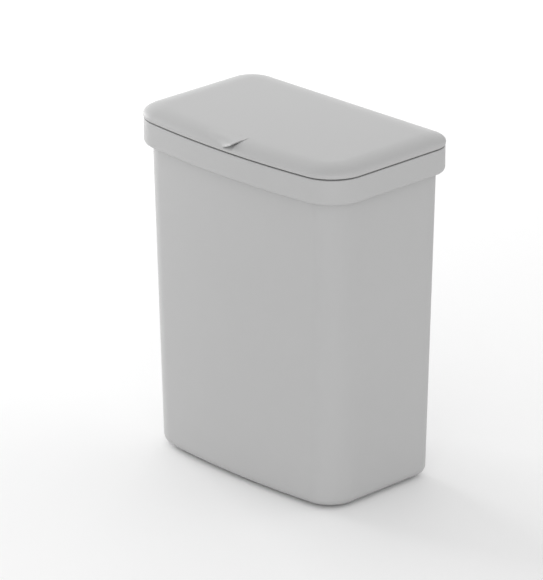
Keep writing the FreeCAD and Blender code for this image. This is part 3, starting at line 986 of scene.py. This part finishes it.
def seal_rows():
    """Closed profile: a square foot in the groove and a round bulb below it."""
    left, right = SEAL_INSET + SEAL_FIT, SEAL_INSET + SEAL_WIDTH - SEAL_FIT
    top, bulb = seal_high.z - SEAL_FIT, liner_low.z - SEAL_NECK
    middle, half = (left + right) / 2, (right - left) / 2
    return [(right, top), (left, top)] + arc_rows(middle, bulb, half, bulb - seal_low.z, 0, -180, steps=20)


liner = soften(swept("lid_inner_panel", liner_rows(), liner_finish), liner_finish)
seal = soften(swept("lid_seal_ring", seal_rows(), seal_finish, closed=True), seal_finish)
print("liner", len(liner.data.polygons), "faces, seal", len(seal.data.polygons), "faces")

# %% [markdown]
# ## Feet and pins
# The feet are soft pads with two grip rings turned into their soles, and the pins have a chamfered tip
# and a low domed head. From the front nobody sees them, but they carry the bin and its lid, and they
# show as soon as it is tipped or opened. Both are turned shapes, so a half profile is all we draw, and
# the turning tree sets it on its places.

# %% Half profiles of feet and pins
FOOT_SOLE_R, FOOT_TOP_EDGE = 0.8, 0.1
GRIP_SHARES, GRIP_DEPTH, GRIP_SLOPE, GRIP_FLOOR = (0.75, 0.42), 0.5, 0.3, 0.8
PIN_TIP, PIN_HEAD_R, PIN_HEAD = 0.5, 4.0, 1.4
HEAD_EDGE, HEAD_SIDE, HEAD_DOME_R = 0.2, 0.6, 1.2
QUARTER = np.radians(np.linspace(0, 90, 7))


def foot_profile():
    """Half profile of a foot: flat top, straight flank, round sole edge and two grip rings."""
    top, sole = FOOT_TOP - SEAT_PLAY, FOOT_SOLE_R
    rows = [(0, top), (FOOT_R - FOOT_TOP_EDGE, top), (FOOT_R, top - FOOT_TOP_EDGE)]
    rows += [(FOOT_R - sole + sole * math.cos(t), sole - sole * math.sin(t)) for t in QUARTER]
    for share in GRIP_SHARES:
        outer = FOOT_R * share
        floor = outer - GRIP_SLOPE
        inner = floor - GRIP_FLOOR
        rows += [(outer, 0), (floor, GRIP_DEPTH), (inner, GRIP_DEPTH), (inner - GRIP_SLOPE, 0)]
    return rows + [(0, 0)]


def pin_profile():
    """Half profile of a pin along its axis, its head at the far end."""
    half = KNUCKLE_WIDTH / 2 + KNUCKLE_GAP + LUG_THICKNESS
    dome, rise = HEAD_DOME_R, PIN_HEAD - HEAD_SIDE
    rows = [(0, -half), (PIN_R - PIN_TIP, -half), (PIN_R, -half + PIN_TIP), (PIN_R, half)]
    rows += [(PIN_HEAD_R - HEAD_EDGE, half), (PIN_HEAD_R, half + HEAD_EDGE)]
    rows += [
        (PIN_HEAD_R - dome + dome * math.cos(t), half + HEAD_SIDE + rise * math.sin(t)) for t in QUARTER
    ]
    return rows + [(0, half + PIN_HEAD)]


print(len(foot_profile()), "rows in a foot,", len(pin_profile()), "in a pin")

# %% Feet and pins
foot_places = [(c.x, c.y, 0.0) for c in FOOT_CENTRES]
pin_places = [(x, AXIS_Y, AXIS_Z) for x in HINGES]
feet = turned_pieces("grip_feet", foot_places, foot_profile(), foot_finish)
pins = turned_pieces("headed_hinge_pins", pin_places, pin_profile(), pin_finish, axis=(1, 0, 0), away=True)
soften(feet, foot_finish)
soften(pins, pin_finish)
print("feet", len(feet.data.polygons), "faces, pins", len(pins.data.polygons), "faces")

# %% [markdown]
# ## Who moves with whom
# Every piece rides on one body of the construction: the bucket stands still, the frame lifts off with
# its pins, and the lid turns with its panel and seal. Each piece stands for the solid with the same job.
# The curves that guided the sweeps have done their work and go.

# %% Bodies, replaced solids and material slots
for piece, body, slot, nodes in (
    (bucket, "bucket", "bucket_plastic", ("bucket",)),
    (feet, "bucket", "foot_rubber", FEET),
    (collar, "top_frame", "frame_plastic", ("top_frame",)),
    (pins, "top_frame", "pin_steel", ("hinge_pin_left", "hinge_pin_right")),
    (lid, "lid", "lid_plastic", ("lid_shell",)),
    (liner, "lid", "liner_plastic", ("lid_liner",)),
    (seal, "lid", "seal_rubber", ("lid_seal",)),
):
    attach(piece, body)
    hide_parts(*nodes)
for guide in (OUTLINE, BASE_OUTLINE):
    bpy.data.objects.remove(guide)
print("pieces", [o.name for o in (bucket, feet, collar, pins, lid, liner, seal)])

# %% [markdown]
# ## Floor and light
# A product picture on white: one wide pale floor, an even sky and a few large soft lamps low round the
# bin. The sky does most of the work, so that no side falls into shade. The lamp at the bin's left end
# grazes the lid and makes it a little brighter there, which a lamp overhead would not do. Lamps are
# placed by their turn from the camera's own direction, and by how high they stand.

# %% Floor and light
AZIMUTH, ELEVATION = math.radians(45.64), math.radians(21.34)
TARGET = Vector((0.0, -0.009, 0.1615))
LAMP_DISTANCE, LAMP_SIZE = 2.2, 1.4
SKY_STRENGTH = 0.76
FLOOR_HALF, FLOOR_TONE = 40.0, 0.93
# Name, turn from the camera and height in degrees, power in watts
LAMPS = (
    ("left_lamp", -135, 12, 33.0),
    ("back_lamp", 180, 12, 8.8),
    ("front_lamp", 0, 12, 8.6),
    ("right_lamp", 90, 35, 2.3),
)


def direction(azimuth, elevation):
    """Unit vector from the bin towards a viewer or a lamp."""
    level = math.cos(elevation)
    return Vector((math.sin(azimuth) * level, -math.cos(azimuth) * level, math.sin(elevation)))


def make_floor(half, tone):
    """Wide pale floor under the feet."""
    mesh = bpy.data.meshes.new("studio_floor")
    corners = [(-half, -half, 0), (half, -half, 0), (half, half, 0), (-half, half, 0)]
    mesh.from_pydata(corners, [], [(0, 1, 2, 3)])
    floor = new_object("studio_floor", mesh)
    finish, wire, shader = new_finish("pale_floor")
    feed(wire, shader, Base_Color=(tone, tone, tone, 1), Roughness=0.9, Specular_IOR_Level=0.1)
    mesh.materials.append(finish)


def make_sky(strength):
    """Even white light from all round."""
    sky = bpy.data.worlds.new("studio_sky")
    sky.use_nodes = True
    glow = sky.node_tree.nodes["Background"]
    glow.inputs["Color"].default_value = (1, 1, 1, 1)
    glow.inputs["Strength"].default_value = strength
    bpy.context.scene.world = sky


def soft_lamp(name, turn, rise, power):
    """Square area lamp aimed at the bin, turned from the camera's direction by some degrees."""
    data = bpy.data.lights.new(name, "AREA")
    data.size, data.energy = LAMP_SIZE, power
    lamp = bpy.data.objects.new(name, data)
    way = direction(AZIMUTH + math.radians(turn), math.radians(rise))
    lamp.location = TARGET + way * LAMP_DISTANCE
    lamp.rotation_euler = way.to_track_quat("Z", "Y").to_euler()
    bpy.context.scene.collection.objects.link(lamp)


make_floor(FLOOR_HALF, FLOOR_TONE)
make_sky(SKY_STRENGTH)
for lamp_row in LAMPS:
    soft_lamp(*lamp_row)
bpy.context.scene.view_settings.view_transform = "Standard"

# %% [markdown]
# ## Camera
# The picture was taken from far away with a long lens: opposite edges of the bin run almost parallel.
# Angle, distance and lens come from fitting the bin's outline, and the small shift puts it where it
# stands in the frame.

# %% Camera
IMAGE_HEIGHT = 580
SENSOR_WIDTH = 36.0
CAMERA_DISTANCE = 3.9538
FOCAL_PIXELS = 4573.9
MIDDLE_SHIFT = (17.05, 2.5)

optics = bpy.data.cameras.new("camera")
optics.sensor_width = SENSOR_WIDTH
optics.lens = FOCAL_PIXELS * SENSOR_WIDTH / IMAGE_HEIGHT
optics.shift_x, optics.shift_y = (-v / IMAGE_HEIGHT for v in MIDDLE_SHIFT)
camera = bpy.data.objects.new("camera", optics)
view_back = direction(AZIMUTH, ELEVATION)
camera.location = TARGET + view_back * CAMERA_DISTANCE
camera.rotation_euler = view_back.to_track_quat("Z", "Y").to_euler()
bpy.context.scene.collection.objects.link(camera)
bpy.context.scene.camera = camera
print(f"lens {optics.lens:.1f} mm")
